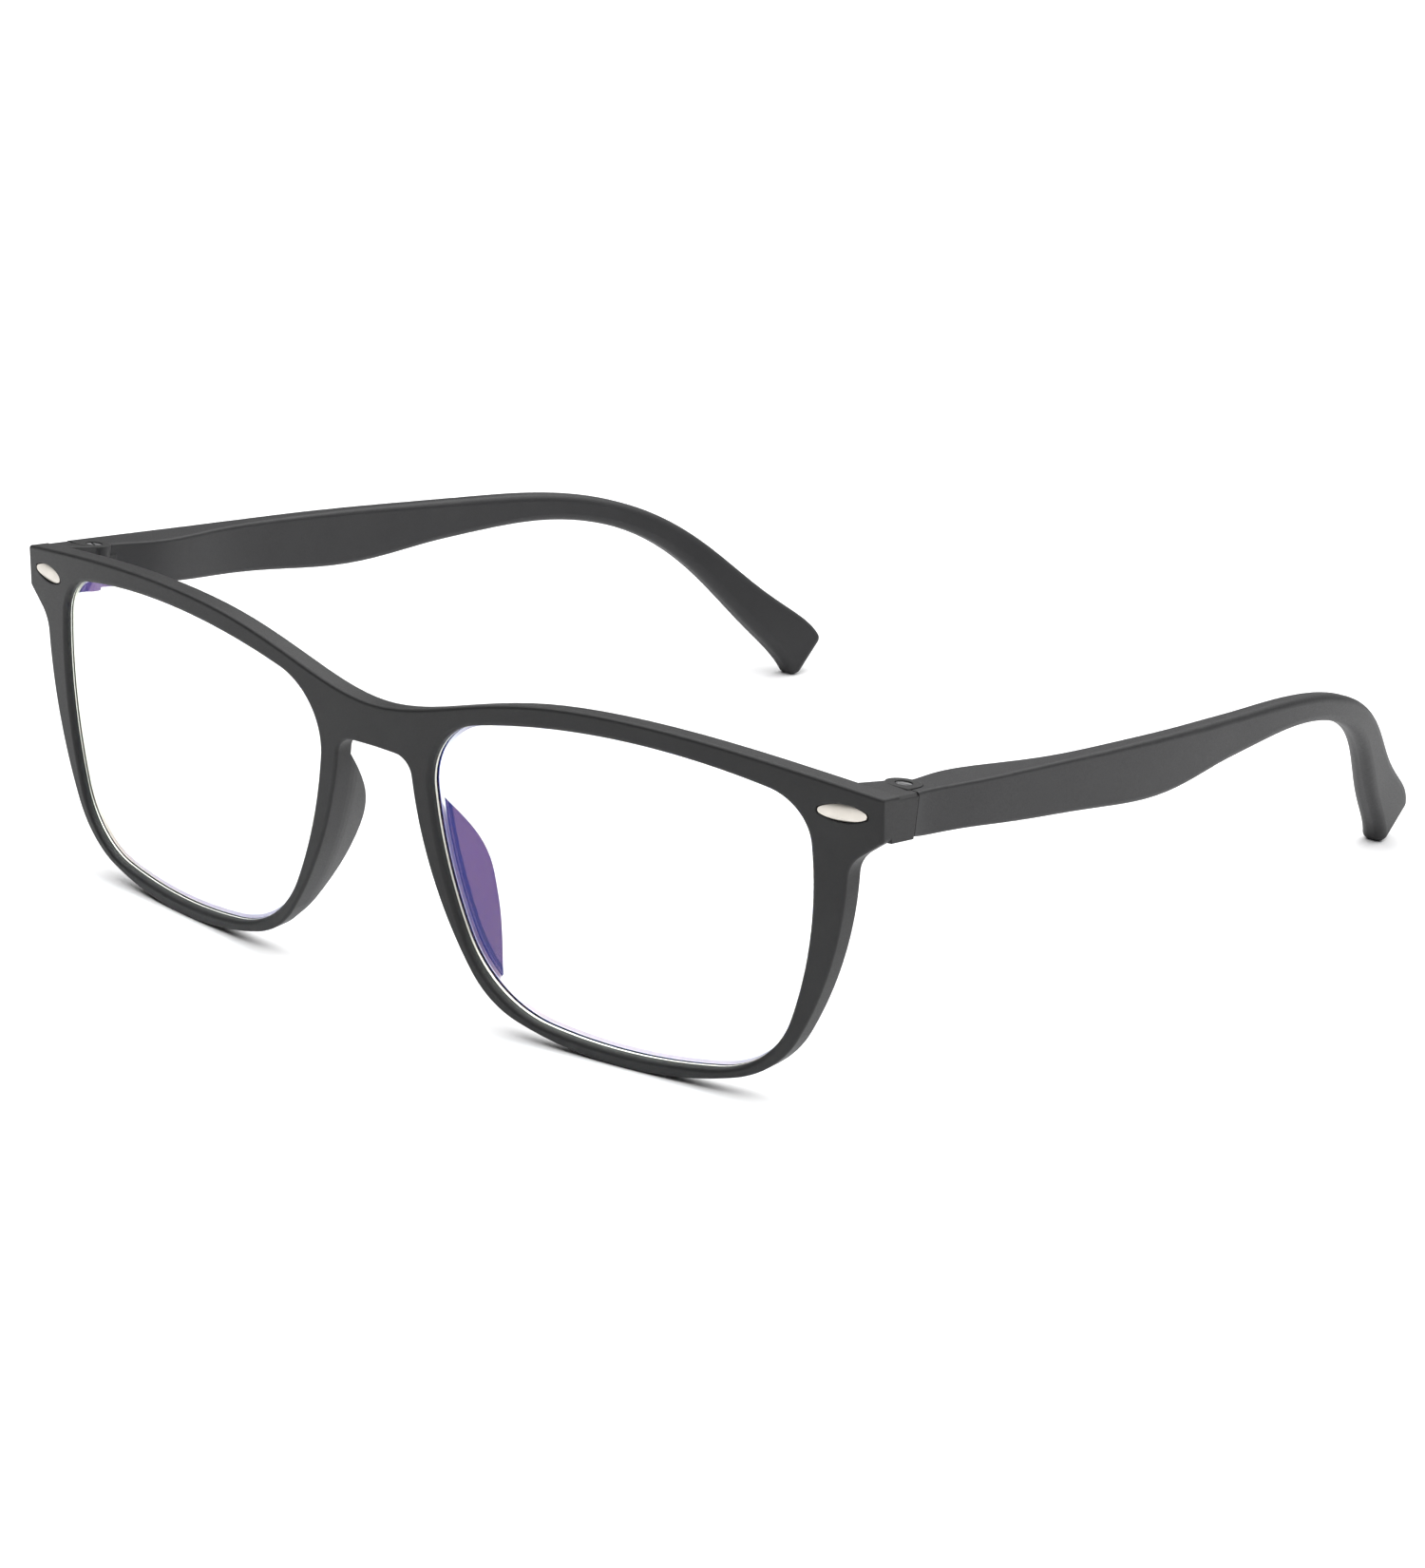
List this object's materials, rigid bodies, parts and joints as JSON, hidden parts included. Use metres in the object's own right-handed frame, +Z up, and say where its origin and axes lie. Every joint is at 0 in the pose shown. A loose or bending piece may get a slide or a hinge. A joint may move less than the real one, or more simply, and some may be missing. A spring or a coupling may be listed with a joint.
{
  "type": "eyeglasses",
  "caption": "Spectacles with a one-piece moulded dark plastic front, rounded rectangular clear lenses, moulded nose pads and folding temples on screwed hinges.",
  "frame": {"origin": "centre of the footprint on the table plane, under the middle of the glasses", "axes": "+X to the right as seen from the front, +Y back along the temples, +Z up; the glasses stand open on the rim bottoms and the temple tips"},
  "size_m": [0.137, 0.1508, 0.0433],
  "materials": {
    "frame_plastic": "fine soft-touch matte, charcoal",
    "temple_plastic": "fine soft-touch matte, charcoal",
    "lens": "clear polished resin with a violet-blue anti-reflection coating, frosted bevel",
    "rivet": "bright plated",
    "screw": "plain steel, turned",
    "insert": "turned"
  },
  "bodies": {
    "front": {"front_frame": "frame_plastic", "lens_right": "lens", "lens_left": "lens", "rivet_right": "rivet", "rivet_left": "rivet", "hinge_screw_right": "screw", "hinge_screw_left": "screw", "hinge_insert_right": "insert", "hinge_insert_left": "insert"},
    "right_temple": {"temple_right": "temple_plastic"},
    "left_temple": {"temple_left": "temple_plastic"}
  },
  "joints": [
    {"name": "right_temple_fold", "type": "hinge", "parent": "front", "child": "right_temple", "pos_m": [0.0651, -0.05728, 0.03944], "axis": [0, 0.0872, 0.9962], "range_deg": [0, 84]},
    {"name": "left_temple_fold", "type": "hinge", "parent": "front", "child": "left_temple", "pos_m": [-0.0651, -0.05728, 0.03944], "axis": [0, -0.0872, -0.9962], "range_deg": [0, 71]}
  ]
}
